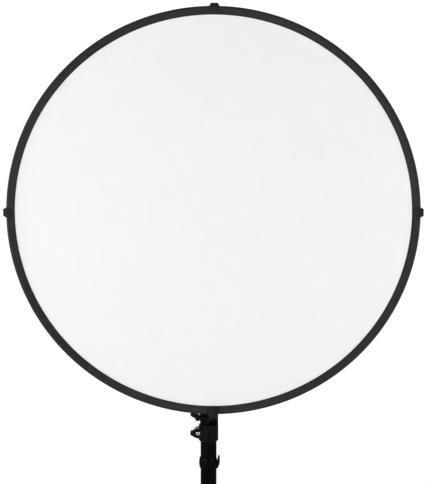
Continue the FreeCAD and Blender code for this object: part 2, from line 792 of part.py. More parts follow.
def hoop_sleeve():
    """Thin sleeve over the strip's joint, at the disc's highest point."""
    outer = hoop_outer()
    inner = outer - hoop_thickness
    half = hoop_half_width
    turn = math.degrees(sleeve_length / disc_r)
    wall = sleeve_wall
    shell = ring((inner - wall, -half - wall),
                 [(outer + wall, -half - wall), (outer + wall, half + wall), (inner - wall, half + wall)],
                 turn, 180.0)
    return shell.cut(hoop())


def fabric(near, far):
    """One flat round sheet between two depths from the disc's middle plane."""
    radius = disc_r - band_width + fabric_overlap
    return along_y(radius, disc_y + near, disc_y + far, disc_x, disc_z)


def front_fabric():
    return fabric(-fabric_gap / 2 - fabric_thickness, -fabric_gap / 2)


def back_fabric():
    return fabric(fabric_gap / 2, fabric_gap / 2 + fabric_thickness)


def pull_tab(angle):
    """Webbing folded over the band and sewn to it, with a stub beyond the rim."""
    root = disc_r
    tip = disc_r + tab_reach
    leg = disc_r - tab_leg
    deep = half_band + webbing
    stub = plate_xz((disc_x - tab_base / 2, disc_z + leg),
                    [(disc_x - tab_base / 2, disc_z + root), (disc_x - tab_tip / 2, disc_z + tip),
                     (disc_x + tab_tip / 2, disc_z + tip), (disc_x + tab_base / 2, disc_z + root),
                     (disc_x + tab_base / 2, disc_z + leg)], disc_y - deep, disc_y + deep)
    half_tip = tab_tip_thickness / 2
    inner_y = half_seam + 2 * webbing
    flat_z = disc_z + root - 2 * fold_radius
    corner_z = disc_z + root - fold_radius
    corner_y = half_band - fold_radius
    fold_z = disc_z + root + webbing
    swell = (fold_radius + webbing) * math.sqrt(0.5)
    side = plate_yz((disc_y - inner_y, disc_z + leg),
                    [(disc_y - deep, flat_z), (disc_y - deep, corner_z),
                     ((disc_y - corner_y - swell, corner_z + swell), (disc_y - corner_y, fold_z)),
                     (disc_y - half_tip, fold_z + webbing), (disc_y - half_tip, disc_z + tip),
                     (disc_y + half_tip, disc_z + tip), (disc_y + half_tip, fold_z + webbing),
                     (disc_y + corner_y, fold_z),
                     ((disc_y + corner_y + swell, corner_z + swell), (disc_y + deep, corner_z)),
                     (disc_y + deep, flat_z), (disc_y + inner_y, disc_z + leg)],
                    disc_x - tab_base / 2, disc_x + tab_base / 2)
    tab = stub.common(side).cut(band_solid(sewn_gap))
    tab.rotate(disc_centre, Y, angle)
    return tab


# --- Write every node ---------------------------------------------------------------
nodes = {
    "base_receiver": base_receiver(),
    "outer_tube": outer_tube(),
    "tube_screws": tube_screws(),
    "base_shoe": base_shoe(),
    "base_screw": base_screw(),
    "base_knob": base_knob(),
    "top_bush": top_bush(),
    "lock_collar": lock_collar(),
    "lever_pin": lever_pin(),
    "collar_screw": collar_screw(),
    "brake_shoe": brake_shoe(),
    "collar_lever": collar_lever(),
    "inner_tube": inner_tube(),
    "guide_bush": guide_bush(),
    "riser_cap": riser_cap(),
    "cap_pin": cap_pin(),
    "head_stud": head_stud(),
    "receiver_body": receiver_body(),
    "lever_washer": lever_washer(),
    "pinch_washer": pinch_washer(),
    "pinch_nut": pinch_nut(),
    "pinch_screw": pinch_screw(),
    "pinch_lever": pinch_lever(),
    "tilt_body": tilt_body(),
    "tilt_bolt": tilt_bolt(),
    "friction_disc": friction_disc(),
    "tilt_lever": tilt_lever(),
    "lever_insert": lever_insert(),
    "front_jaw": front_jaw(),
    "front_jaw_pad": front_jaw_pad(),
    "front_jaw_screws": front_jaw_screws(),
    "rear_jaw": rear_jaw(),
    "rear_jaw_pad": rear_jaw_pad(),
    "guide_pins": guide_pins(),
    "clamp_screw": clamp_screw(),
    "clamp_knob": clamp_knob(),
    "hoop": hoop(),
    "hoop_sleeve": hoop_sleeve(),
    "edge_binding": edge_binding(),
    "front_fabric": front_fabric(),
    "back_fabric": back_fabric(),
    "pull_tab_top": pull_tab(0.0),
    "pull_tab_right": pull_tab(90.0),
    "pull_tab_left": pull_tab(-90.0),
}

os.makedirs("parts", exist_ok=True)
for name, shape in nodes.items():
    shape.exportStep("parts/" + name + ".step")
    print(name, len(shape.Solids), "solid(s), volume", round(shape.Volume, 1), "valid", shape.isValid())
print("tilt axis z", tilt_z, "disc centre", disc_x, disc_y, disc_z)
print("pinch screw", pinch_x, pinch_z, "cam lever pin", pivot_x, pivot_z, "clamp screw", disc_x, clamp_z)
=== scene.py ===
# %% [markdown]
# # A round sprung reflector on its tilt head and riser
# The imported model of the mechanism comes in first and stays where it is. Most of its soft or moulded parts
# are then modelled again in their place, and everything gets a finish made of shader nodes.

# %% Load the mechanism
import json
import math

import bmesh
import bpy
import numpy as np
from mathutils import Matrix, Vector


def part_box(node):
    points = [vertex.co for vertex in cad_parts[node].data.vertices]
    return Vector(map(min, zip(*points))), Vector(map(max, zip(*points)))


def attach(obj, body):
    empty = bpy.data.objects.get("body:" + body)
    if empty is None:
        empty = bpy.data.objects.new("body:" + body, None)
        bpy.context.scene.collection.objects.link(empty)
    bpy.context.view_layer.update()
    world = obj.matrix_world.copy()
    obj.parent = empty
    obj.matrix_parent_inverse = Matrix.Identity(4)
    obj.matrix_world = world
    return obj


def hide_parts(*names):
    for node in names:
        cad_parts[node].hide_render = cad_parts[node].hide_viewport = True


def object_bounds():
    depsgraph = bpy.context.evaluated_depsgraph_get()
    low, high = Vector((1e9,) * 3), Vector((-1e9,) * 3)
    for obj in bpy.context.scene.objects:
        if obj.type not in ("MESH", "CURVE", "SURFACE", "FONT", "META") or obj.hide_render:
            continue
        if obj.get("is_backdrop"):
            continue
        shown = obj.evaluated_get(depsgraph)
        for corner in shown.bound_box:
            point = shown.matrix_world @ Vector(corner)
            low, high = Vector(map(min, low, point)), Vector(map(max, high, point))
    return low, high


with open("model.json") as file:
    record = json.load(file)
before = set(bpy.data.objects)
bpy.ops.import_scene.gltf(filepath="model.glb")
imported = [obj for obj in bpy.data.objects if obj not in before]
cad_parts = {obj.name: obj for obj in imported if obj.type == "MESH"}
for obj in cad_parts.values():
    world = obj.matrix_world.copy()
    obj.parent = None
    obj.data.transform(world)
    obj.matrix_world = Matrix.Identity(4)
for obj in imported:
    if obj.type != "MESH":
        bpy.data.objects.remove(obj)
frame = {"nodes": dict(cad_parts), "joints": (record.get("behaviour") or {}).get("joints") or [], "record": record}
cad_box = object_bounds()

MM = 0.001
nodes = frame["nodes"]
joints = {joint["name"]: joint for joint in frame["joints"]}

# %% [markdown]
# ## Where the disc is
# Nearly every piece is placed from the disc's centre or from a joint, so those are measured from the
# mechanism once. The disc is widest across its edge binding, and the two face sheets lie in its middle.

# %% Measure the disc
band_low, band_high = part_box("edge_binding")
centre = (band_low + band_high) / 2
disc_r = (band_high.x - band_low.x) / 2
tilt_at = Vector(joints["tilt"]["pos_m"])
pinch_at = Vector(joints["pinch_lever_turn"]["pos_m"])
print("disc radius", round(disc_r, 4), "centre", [round(v, 4) for v in centre])

# %% [markdown]
# ## Camera
# A long lens from six metres away keeps the disc almost round, and it looks down by ten degrees. The camera
# is moved sideways and down without turning, so the disc stays above the middle and the riser runs out of
# the picture below it.

# %% Camera
elevation = math.radians(10.6)
distance = 5.99
lens = 254.7
shift_right = 1.1 * MM
shift_down = 58.4 * MM
view = Vector((0, -math.cos(elevation), math.sin(elevation)))
up = Vector((0, math.sin(elevation), math.cos(elevation)))
camera = bpy.data.objects.new("camera", bpy.data.cameras.new("camera"))
bpy.context.scene.collection.objects.link(camera)
camera.data.sensor_fit = "HORIZONTAL"
camera.data.sensor_width = 36
camera.data.lens = lens
camera.data.clip_end = 100
camera.location = centre + view * distance + Vector((shift_right, 0, 0)) - up * shift_down
camera.rotation_euler = view.to_track_quat("Z", "Y").to_euler()
bpy.context.scene.camera = camera
print("camera at", [round(v, 3) for v in camera.location], "lens", camera.data.lens)

# %% [markdown]
# ## Floor, world and lamps
# Catalogue pictures are taken against white. The world is white only where the camera looks straight at it,
# and dim for every other ray, so the black parts don't turn grey by mirroring it. The floor does the same:
# near the riser it is a plain pale floor, and further out it fades to the world's white, with no edge.
# Two soft lamps stand left and right of the camera, a narrow one far to the left lights the edge at that
# side a little more, and a wide one behind keeps the back of the disc readable.

# %% World
white_seen = 1.05
dim_fill = 0.06
world = bpy.data.worlds.new("studio")
bpy.context.scene.world = world
world.use_nodes = True
sky = world.node_tree.nodes
sky_links = world.node_tree.links
sky.clear()
seen = sky.new("ShaderNodeBackground")
seen.inputs["Color"].default_value = (1, 1, 1, 1)
seen.inputs["Strength"].default_value = white_seen
fill = sky.new("ShaderNodeBackground")
fill.inputs["Color"].default_value = (1, 1, 1, 1)
fill.inputs["Strength"].default_value = dim_fill
ray = sky.new("ShaderNodeLightPath")
choose = sky.new("ShaderNodeMixShader")
out = sky.new("ShaderNodeOutputWorld")
sky_links.new(ray.outputs["Is Camera Ray"], choose.inputs[0])
sky_links.new(fill.outputs[0], choose.inputs[1])
sky_links.new(seen.outputs[0], choose.inputs[2])
sky_links.new(choose.outputs[0], out.inputs[0])
bpy.context.scene.view_settings.view_transform = "Standard"
bpy.context.scene.view_settings.gamma = 0.8

# %% Lamps
def lamp(name, place, target, width, height, power):
    """A soft rectangular lamp that faces a point."""
    data = bpy.data.lights.new(name, "AREA")
    data.shape = "RECTANGLE"
    data.size = width
    data.size_y = height
    data.energy = power
    light = bpy.data.objects.new(name, data)
    bpy.context.scene.collection.objects.link(light)
    light.location = place
    light.rotation_euler = (Vector(place) - Vector(target)).to_track_quat("Z", "Y").to_euler()
    return light


# Place and target are measured from the disc's centre, in metres, and power is in watts.
lamp_plan = {
    "left_lamp": ((-2.3, -2.4, 0.15), (0, 0, 0), 0.9, 1.2, 61),
    "right_lamp": ((2.3, -2.4, 0.15), (0, 0, 0), 0.9, 1.2, 58),
    "left_edge_lamp": ((-2.6, -0.35, 0.1), (-0.4, 0, 0), 0.3, 1.2, 16),
    "back_lamp": ((0, 3.0, 0.9), (0, 0, 0), 4.0, 1.4, 90),
}
for name, (place, target, width, height, power) in lamp_plan.items():
    lamp(name, centre + Vector(place), centre + Vector(target), width, height, power)

# %% Floor
floor_size = 60
fade_start = 0.35       # from the riser, in metres
fade_end = 0.85
bpy.ops.object.select_all(action="DESELECT")
bpy.ops.mesh.primitive_plane_add(size=floor_size, location=(0, 0, -1 * MM))
floor = bpy.context.object
floor.name = "floor"
paper = bpy.data.materials.new("studio_floor")
paper.use_nodes = True
paper_nodes = paper.node_tree.nodes
paper_links = paper.node_tree.links
pale = paper_nodes["Principled BSDF"]
pale.inputs["Base Color"].default_value = (0.82, 0.82, 0.82, 1)
pale.inputs["Roughness"].default_value = 0.9
pale.inputs["Specular IOR Level"].default_value = 0.1
glow = paper_nodes.new("ShaderNodeEmission")
glow.inputs["Strength"].default_value = white_seen
place = paper_nodes.new("ShaderNodeTexCoord")
reach = paper_nodes.new("ShaderNodeVectorMath")
reach.operation = "LENGTH"
fade = paper_nodes.new("ShaderNodeMapRange")
fade.interpolation_type = "SMOOTHSTEP"
fade.inputs["From Min"].default_value = fade_start
fade.inputs["From Max"].default_value = fade_end
ray = paper_nodes.new("ShaderNodeLightPath")
far = paper_nodes.new("ShaderNodeMath")
far.operation = "MULTIPLY"
blend = paper_nodes.new("ShaderNodeMixShader")
paper_links.new(place.outputs["Object"], reach.inputs[0])
paper_links.new(reach.outputs["Value"], fade.inputs["Value"])
paper_links.new(fade.outputs["Result"], far.inputs[0])
paper_links.new(ray.outputs["Is Camera Ray"], far.inputs[1])
paper_links.new(far.outputs[0], blend.inputs[0])
paper_links.new(pale.outputs[0], blend.inputs[1])
paper_links.new(glow.outputs[0], blend.inputs[2])
paper_links.new(blend.outputs[0], paper_nodes["Material Output"].inputs["Surface"])
floor.data.materials.append(paper)
floor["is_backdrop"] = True
print("floor", floor.dimensions[:])

# %% [markdown]
# ## Node groups that several finishes share
# A plain weave crosses two sets of threads. Each thread is a rounded ridge, so its height is a sine across
# it, and a chequerboard says which set is on top. Fine grain stands for a cast or spark-eroded skin. Edge
# wear compares the true surface with one whose edges are rounded, because the two differ only along an
# edge, and the rounded one also gives hard edges their thin highlight. Dust settles on what faces upwards.

# %% Helpers for node groups
def group(name, inputs, outputs):
    """A shader node group with named sockets. Inputs are (name, kind, value)."""
    tree = bpy.data.node_groups.new(name, "ShaderNodeTree")
    for label, kind, value in inputs:
        socket = tree.interface.new_socket(label, in_out="INPUT", socket_type="NodeSocket" + kind)
        if value is not None:
            socket.default_value = value
    for label, kind in outputs:
        tree.interface.new_socket(label, in_out="OUTPUT", socket_type="NodeSocket" + kind)
    return tree, tree.nodes.new("NodeGroupInput"), tree.nodes.new("NodeGroupOutput")


def math_node(tree, operation, first, second=None):
    """A Math node fed by sockets or numbers."""
    node = tree.nodes.new("ShaderNodeMath")
    node.operation = operation
    for socket, value in zip(node.inputs, (first, second)):
        if isinstance(value, bpy.types.NodeSocket):
            tree.links.new(value, socket)
        elif value is not None:
            socket.default_value = value
    return node.outputs[0]


def noise_node(tree, vector, scale, detail=2.0, roughness=0.5):
    """The value of a Noise Texture."""
    node = tree.nodes.new("ShaderNodeTexNoise")
    tree.links.new(vector, node.inputs["Vector"])
    if isinstance(scale, bpy.types.NodeSocket):
        tree.links.new(scale, node.inputs["Scale"])
    else:
        node.inputs["Scale"].default_value = scale
    node.inputs["Detail"].default_value = detail
    node.inputs["Roughness"].default_value = roughness
    return node.outputs[0]


def range_node(tree, value, low, high, to_low=0.0, to_high=1.0):
    """A clamped Map Range."""
    node = tree.nodes.new("ShaderNodeMapRange")
    tree.links.new(value, node.inputs["Value"])
    for label, number in (("From Min", low), ("From Max", high), ("To Min", to_low), ("To Max", to_high)):
        node.inputs[label].default_value = number
    return node.outputs["Result"]


# %% Weave group
weave, given, result = group(
    "weave", [("Vector", "Vector", None), ("Along", "Float", 0.8), ("Across", "Float", 0.8)],
    [("Height", "Float"), ("Shade", "Float")])
split = weave.nodes.new("ShaderNodeSeparateXYZ")
weave.links.new(given.outputs["Vector"], split.inputs[0])
u = math_node(weave, "DIVIDE", split.outputs["X"], math_node(weave, "MULTIPLY", given.outputs["Along"], MM))
v = math_node(weave, "DIVIDE", split.outputs["Y"], math_node(weave, "MULTIPLY", given.outputs["Across"], MM))
warp = math_node(weave, "ABSOLUTE", math_node(weave, "SINE", math_node(weave, "MULTIPLY", u, math.pi)))
weft = math_node(weave, "ABSOLUTE", math_node(weave, "SINE", math_node(weave, "MULTIPLY", v, math.pi)))
cells = math_node(weave, "ADD", math_node(weave, "FLOOR", u), math_node(weave, "FLOOR", v))
over = math_node(weave, "FLOORED_MODULO", cells, 2.0)
under = math_node(weave, "SUBTRACT", 1.0, over)
ridge = math_node(weave, "ADD", math_node(weave, "MULTIPLY", warp, over),
                  math_node(weave, "MULTIPLY", weft, under))
slub = noise_node(weave, given.outputs["Vector"], 420.0, 3.0, 0.6)
weave.links.new(ridge, result.inputs["Height"])
# Shade is partly painted shade and partly real tone: the valleys between threads are painted darker and the crowns
# lighter by their height, and slub noise varies the yarn's own tone.
weave.links.new(range_node(weave, math_node(weave, "ADD", math_node(weave, "MULTIPLY", ridge, 0.5),
                                            math_node(weave, "MULTIPLY", slub, 0.9)), 0.25, 1.1),
                result.inputs["Shade"])
print("weave", len(weave.nodes), "nodes")

# %% Grain group
grain, given, result = group("grain", [("Vector", "Vector", None), ("Size", "Float", 0.5)],
                             [("Height", "Float"), ("Patches", "Float")])
scale = math_node(grain, "DIVIDE", 1000.0, given.outputs["Size"])
fine = noise_node(grain, given.outputs["Vector"], scale, 2.0, 0.7)
patches = noise_node(grain, given.outputs["Vector"], 38.0, 4.0, 0.6)
grain.links.new(fine, result.inputs["Height"])
grain.links.new(range_node(grain, patches, 0.35, 0.68), result.inputs["Patches"])

# %% Edge wear group
wear, given, result = group(
    "edge_wear", [("Vector", "Vector", None), ("Round", "Float", 0.5), ("Amount", "Float", 0.6)],
    [("Mask", "Float"), ("Normal", "Vector")])
rounded = wear.nodes.new("ShaderNodeBevel")
rounded.samples = 4
wear.links.new(math_node(wear, "MULTIPLY", given.outputs["Round"], MM), rounded.inputs["Radius"])
surface = wear.nodes.new("ShaderNodeNewGeometry")
turn = wear.nodes.new("ShaderNodeVectorMath")
turn.operation = "DOT_PRODUCT"
wear.links.new(rounded.outputs[0], turn.inputs[0])
wear.links.new(surface.outputs["Normal"], turn.inputs[1])
edge = range_node(wear, turn.outputs["Value"], 0.97, 0.8)
spots = range_node(wear, noise_node(wear, given.outputs["Vector"], 330.0, 5.0, 0.65), 0.48, 0.66)
wear.links.new(math_node(wear, "MULTIPLY", math_node(wear, "MULTIPLY", edge, spots), given.outputs["Amount"]),
               result.inputs["Mask"])
wear.links.new(rounded.outputs[0], result.inputs["Normal"])

# %% Dust group
dust, given, result = group("dust", [("Vector", "Vector", None), ("Amount", "Float", 0.3)],
                            [("Mask", "Float")])
surface = dust.nodes.new("ShaderNodeNewGeometry")
facing = dust.nodes.new("ShaderNodeSeparateXYZ")
dust.links.new(surface.outputs["Normal"], facing.inputs[0])
upward = range_node(dust, facing.outputs["Z"], 0.55, 1.0)
specks = range_node(dust, noise_node(dust, given.outputs["Vector"], 900.0, 3.0, 0.7), 0.52, 0.72)
dust.links.new(math_node(dust, "MULTIPLY", math_node(dust, "MULTIPLY", upward, specks),
                         given.outputs["Amount"]), result.inputs["Mask"])
print("groups", [tree.name for tree in bpy.data.node_groups])


# %% [markdown]
# ## Finishes
# Each finish is a Principled shader. Numbers that are the same all over stand on the shader's own sockets,
# and only what changes over the surface comes through nodes: the base colour, the roughness and the bump.
# Hard parts read their own Object coordinates. Cloth reads a UV map that follows its threads in metres.

# %% Helpers for finishes
def finish_of(name, **numbers):
    """A new material with these numbers on its Principled shader."""
    material = bpy.data.materials.new(name)
    material.use_nodes = True
    shader = material.node_tree.nodes["Principled BSDF"]
    for label, value in numbers.items():
        shader.inputs[label.replace("_", " ")].default_value = value
    return material, material.node_tree, shader


def placed(tree, effect, vector, **values):
    """A group node in a material, with its own values."""
    node = tree.nodes.new("ShaderNodeGroup")
    node.node_tree = effect
    tree.links.new(vector, node.inputs["Vector"])
    for label, value in values.items():
        node.inputs[label].default_value = value
    return node


def mix(tree, factor, low, high):
    """A colour that goes from low to high with factor."""
    node = tree.nodes.new("ShaderNodeMix")
    node.data_type = "RGBA"
    tree.links.new(factor, node.inputs["Factor"])
    for socket, colour in ((node.inputs[6], low), (node.inputs[7], high)):
        if isinstance(colour, bpy.types.NodeSocket):
            tree.links.new(colour, socket)
        else:
            socket.default_value = (*colour, 1)
    return node.outputs[2]


def bump(tree, height, distance, strength=1.0, normal=None):
    """A Bump node's normal, for a height of distance millimetres."""
    node = tree.nodes.new("ShaderNodeBump")
    node.inputs["Strength"].default_value = strength
    node.inputs["Distance"].default_value = distance * MM
    tree.links.new(height, node.inputs["Height"])
    if normal is not None:
        tree.links.new(normal, node.inputs["Normal"])
    return node.outputs["Normal"]


def hard_finish(name, dark, light, worn, rough, grain_size, grain_height, amount, metallic=0.0,
                specular=0.5, rounding=0.5, stretch=(1, 1, 1)):
    """A solid part's finish: grain, patchy gloss, worn edges and a little dust."""
    material, tree, shader = finish_of(name, Metallic=metallic, Specular_IOR_Level=specular)
    where = tree.nodes.new("ShaderNodeTexCoord")
    along = tree.nodes.new("ShaderNodeMapping")
    along.inputs["Scale"].default_value = stretch
    tree.links.new(where.outputs["Object"], along.inputs["Vector"])
    skin = placed(tree, grain, along.outputs["Vector"], Size=grain_size)
    edges = placed(tree, wear, where.outputs["Object"], Round=rounding, Amount=amount)
    settled = placed(tree, dust, where.outputs["Object"], Amount=0.25)
    colour = mix(tree, skin.outputs["Patches"], dark, light)
    colour = mix(tree, edges.outputs["Mask"], colour, worn)
    colour = mix(tree, settled.outputs["Mask"], colour, (0.2, 0.19, 0.18))
    tree.links.new(colour, shader.inputs["Base Color"])
    tree.links.new(range_node(tree, skin.outputs["Patches"], 0.0, 1.0, rough - 0.06, rough + 0.08),
                   shader.inputs["Roughness"])
    tree.links.new(bump(tree, skin.outputs["Height"], grain_height, 1.0, edges.outputs["Normal"]),
                   shader.inputs["Normal"])
    return material


# %% Hard finishes
finishes = {
    "cast_black": hard_finish("cast_black", (0.005, 0.005, 0.0053), (0.009, 0.009, 0.0095),
                              (0.06, 0.06, 0.062), 0.48, 0.55, 0.05, 0.5, specular=0.15),
    "tube_black": hard_finish("tube_black", (0.003, 0.003, 0.0032), (0.0042, 0.0042, 0.0044),
                              (0.08, 0.08, 0.08), 0.34, 0.35, 0.008, 0.35, specular=0.06,
                              rounding=0.3, stretch=(1, 1, 0.03)),
    "moulded_black": hard_finish("moulded_black", (0.0045, 0.0045, 0.0048), (0.0075, 0.0075, 0.008),
                                 (0.09, 0.09, 0.092), 0.4, 0.4, 0.02, 0.6, specular=0.36),
    "smooth_black": hard_finish("smooth_black", (0.003, 0.003, 0.0032), (0.0045, 0.0045, 0.0048),
                                (0.05, 0.05, 0.052), 0.4, 0.4, 0.01, 0.4, specular=0.07),
    "jaw_black": hard_finish("jaw_black", (0.013, 0.013, 0.0135), (0.018, 0.018, 0.0185),
                             (0.09, 0.09, 0.092), 0.46, 0.4, 0.02, 0.6, specular=0.4),
    "black_steel": hard_finish("black_steel", (0.007, 0.007, 0.0075), (0.012, 0.012, 0.0125),
                               (0.2, 0.2, 0.21), 0.34, 0.3, 0.006, 0.6, metallic=0.0, specular=0.35,
                               rounding=0.25),
    "bare_steel": hard_finish("bare_steel", (0.42, 0.42, 0.43), (0.56, 0.56, 0.57), (0.7, 0.7, 0.7),
                              0.3, 0.3, 0.006, 0.4, metallic=1.0, rounding=0.2, stretch=(1, 1, 0.1)),
    "bright_steel": hard_finish("bright_steel", (0.62, 0.62, 0.63), (0.74, 0.74, 0.75),
                                (0.8, 0.8, 0.8), 0.2, 0.3, 0.003, 0.3, metallic=1.0, rounding=0.2),
    "brass": hard_finish("brass", (0.55, 0.4, 0.16), (0.72, 0.55, 0.27), (0.85, 0.7, 0.4),
                         0.3, 0.3, 0.005, 0.4, metallic=1.0, rounding=0.2),
    "nylon": hard_finish("nylon", (0.012, 0.012, 0.012), (0.02, 0.02, 0.02), (0.06, 0.06, 0.06),
                         0.42, 0.5, 0.01, 0.3, specular=0.4, rounding=0.3),
    "rubber": hard_finish("rubber", (0.01, 0.01, 0.01), (0.016, 0.016, 0.016), (0.05, 0.05, 0.05),
                          0.75, 0.35, 0.03, 0.3, specular=0.25, rounding=0.4),
}
slot_of = {part["node"]: part["material_slot"] for part in frame["record"]["subparts"]}
for name, node in nodes.items():
    if slot_of[name] in finishes:
        node.data.materials.clear()
        node.data.materials.append(finishes[slot_of[name]])
for name in ("riser_cap", "lock_collar"):
    nodes[name].data.materials[0] = finishes["smooth_black"]
print(sorted(finishes))


# %% Cloth finishes
def cloth_finish(name, dark, light, rough, along, across, height, sheen, specular=0.2, fuzz=0.0,
                 seam_shade_from=None):
    """A woven finish on the piece's own UV map, which is in metres along its threads.

    With seam_shade_from, the cloth is painted darker past that distance across it, in millimetres: painted shade
    along the tape's inner edge at the seam, where the tape stands over the cloth.
    """
    material, tree, shader = finish_of(name, Specular_IOR_Level=specular, Sheen_Weight=sheen,
                                       Sheen_Roughness=0.5)
    where = tree.nodes.new("ShaderNodeUVMap")
    where.uv_map = "threads"
    cloth = placed(tree, weave, where.outputs["UV"], Along=along, Across=across)
    broad = noise_node(tree, where.outputs["UV"], 26.0, 3.0, 0.6)
    shade = math_node(tree, "ADD", math_node(tree, "MULTIPLY", cloth.outputs["Shade"], 0.75),
                      math_node(tree, "MULTIPLY", range_node(tree, broad, 0.3, 0.7), 0.25))
    lint = range_node(tree, noise_node(tree, where.outputs["UV"], 700.0, 4.0, 0.7), 0.66, 0.78)
    colour = mix(tree, shade, dark, light)
    if fuzz:
        colour = mix(tree, math_node(tree, "MULTIPLY", lint, fuzz), colour, (0.3, 0.3, 0.3))
    # Painted shade: past that distance the tape turns almost black along its inner edge at the seam.
    if seam_shade_from:
        across_it = tree.nodes.new("ShaderNodeSeparateXYZ")
        tree.links.new(where.outputs["UV"], across_it.inputs[0])
        edge = range_node(tree, math_node(tree, "ABSOLUTE", across_it.outputs["Y"]),
                          seam_shade_from * MM, (seam_shade_from + 0.5) * MM)
        colour = mix(tree, edge, colour, (0.004, 0.004, 0.004))
    tree.links.new(colour, shader.inputs["Base Color"])
    tree.links.new(range_node(tree, cloth.outputs["Height"], 0.0, 1.0, rough + 0.08, rough - 0.05),
                   shader.inputs["Roughness"])
    tree.links.new(bump(tree, cloth.outputs["Height"], height), shader.inputs["Normal"])
    return material


# The binding's last number, 15.6 mm, paints shade along the tape's inner edge at the seam.
finishes["binding"] = cloth_finish("binding_tape", (0.009, 0.009, 0.0095), (0.028, 0.028, 0.029),
                                   0.46, 3.0, 0.9, 0.34, 0.1, 0.58, 0.3, 15.6)
finishes["webbing"] = cloth_finish("webbing", (0.014, 0.014, 0.015), (0.048, 0.048, 0.05),
                                   0.7, 1.3, 1.9, 0.25, 0.12, 0.25, 0.2)
finishes["white_cloth"] = cloth_finish("white_cloth", (0.83, 0.83, 0.83), (0.875, 0.875, 0.873),
                                       0.8, 0.42, 0.42, 0.03, 0.0, 0.2)
finishes["silver_cloth"] = cloth_finish("silver_cloth", (0.45, 0.45, 0.46), (0.66, 0.66, 0.67),
                                        0.42, 0.5, 0.5, 0.05, 0.0, 0.5)
finishes["silver_cloth"].node_tree.nodes["Principled BSDF"].inputs["Metallic"].default_value = 0.85
finishes["thread"] = cloth_finish("stitch_thread", (0.02, 0.02, 0.021), (0.07, 0.07, 0.072),
                                  0.55, 0.35, 0.6, 0.05, 0.1, 0.35)
print("finishes", len(finishes))


# %% [markdown]
# ## Modelling helpers
# An outline is traced as by hand: one vertex is extruded from point to point. A flat outline is filled and
# extruded into a slab, and a half section is spun into a turned part. Everything else starts from one of
# these two, so each helper is written once.

# %% Select and edit
def edit(piece):
    """Enter edit mode on one piece, with nothing selected."""
    bpy.ops.object.select_all(action="DESELECT")
    piece.select_set(True)
    bpy.context.view_layer.objects.active = piece
    bpy.ops.object.mode_set(mode="EDIT")
    bpy.ops.mesh.select_mode(type="VERT")
    bpy.ops.mesh.select_all(action="DESELECT")


def leave():
    bpy.ops.object.mode_set(mode="OBJECT")


def pick_faces(piece, test):
    """Select the faces whose centre and normal pass a test. Returns how many."""
    mesh = bmesh.from_edit_mesh(piece.data)
    bpy.ops.mesh.select_mode(type="FACE")
    chosen = 0
    for face in mesh.faces:
        wanted = test(face.calc_center_median(), face.normal)
        face.select_set(wanted)
        chosen += wanted
    bmesh.update_edit_mesh(piece.data)
    return chosen


# %% Trace, slab and turned parts
def trace(name, points, fill=False):
    """A piece with one chain of edges through the points, open in edit mode and all selected."""
    bpy.ops.object.select_all(action="DESELECT")
    bpy.ops.mesh.primitive_plane_add(size=MM, location=(0, 0, 0))
    piece = bpy.context.object
    piece.name = name
    edit(piece)
    bpy.ops.mesh.select_all(action="SELECT")
    bpy.ops.mesh.merge(type="CENTER")
    bpy.ops.transform.translate(value=points[0])
    for here, there in zip(points, points[1:]):
        step = Vector(there) - Vector(here)
        bpy.ops.mesh.extrude_region_move(TRANSFORM_OT_translate={"value": step})
    bpy.ops.mesh.select_all(action="SELECT")
    if fill:
        bpy.ops.mesh.edge_face_add()
    return piece


def tidy(piece):
    """Merge doubled vertices and point every face outwards."""
    edit(piece)
    bpy.ops.mesh.select_all(action="SELECT")
    bpy.ops.mesh.remove_doubles(threshold=1e-5)
    bpy.ops.mesh.normals_make_consistent(inside=False)
    leave()
    return piece


def slab(name, outline, low, high):
    """An outline of (x, z) points, extruded along y from low to high."""
    piece = trace(name, [Vector((x, low, z)) for x, z in outline], fill=True)
    bpy.ops.mesh.extrude_region_move(TRANSFORM_OT_translate={"value": (0, high - low, 0)})
    leave()
    return tidy(piece)


def mm(points):
    """Points given in millimetres, in metres."""
    return [tuple(value * MM for value in point) for point in points]


def turned(name, section, origin, axis, steps=48):
    """A half section in (along a level axis, radius), spun about the axis through origin."""
    axis, side = Vector(axis), Vector((0, 0, 1))
    piece = trace(name, [Vector(origin) + axis * a + side * r for a, r in section])
    bpy.ops.mesh.spin(steps=steps, angle=2 * math.pi, center=origin, axis=axis, use_auto_merge=True)
    leave()
    return tidy(piece)


def apply(piece, kind, **settings):
    """Add a modifier with these settings and apply it."""
    bpy.ops.object.select_all(action="DESELECT")
    piece.select_set(True)
    bpy.context.view_layer.objects.active = piece
    modifier = piece.modifiers.new(kind.lower(), kind)
    for label, value in settings.items():
        setattr(modifier, label, value)
    bpy.ops.object.modifier_apply(modifier=modifier.name)
    return piece


def soften(piece, width, segments=2, angle=35):
    """Round the piece's hard edges and shade it smooth."""
    apply(piece, "BEVEL", width=width * MM, segments=segments, limit_method="ANGLE",
          angle_limit=math.radians(angle), harden_normals=False)
    bpy.ops.object.shade_smooth_by_angle(angle=math.radians(40))
    return piece


def join(name, pieces):
    """One piece made of several."""
    bpy.ops.object.select_all(action="DESELECT")
    for piece in pieces:
        piece.select_set(True)
    bpy.context.view_layer.objects.active = pieces[0]
    bpy.ops.object.join()
    pieces[0].name = name
    return pieces[0]


def finished(piece, slot, body, *replaced, finish=None):
    """Give a piece its finish, its body and the nodes that it stands for."""
    piece.data.materials.clear()
    piece.data.materials.append(finishes[finish or slot])
    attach(piece, body)
    if replaced:
        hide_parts(*replaced)
    size = [round(v / MM, 1) for v in piece.dimensions]
    print(piece.name, len(piece.data.polygons), "faces,", size, "mm")
    return piece


def arc(middle, radius, start, end, steps):
    """Points of an arc in degrees."""
    turn = [math.radians(start + (end - start) * k / steps) for k in range(steps + 1)]
    return [(middle[0] + radius * math.cos(t), middle[1] + radius * math.sin(t)) for t in turn]


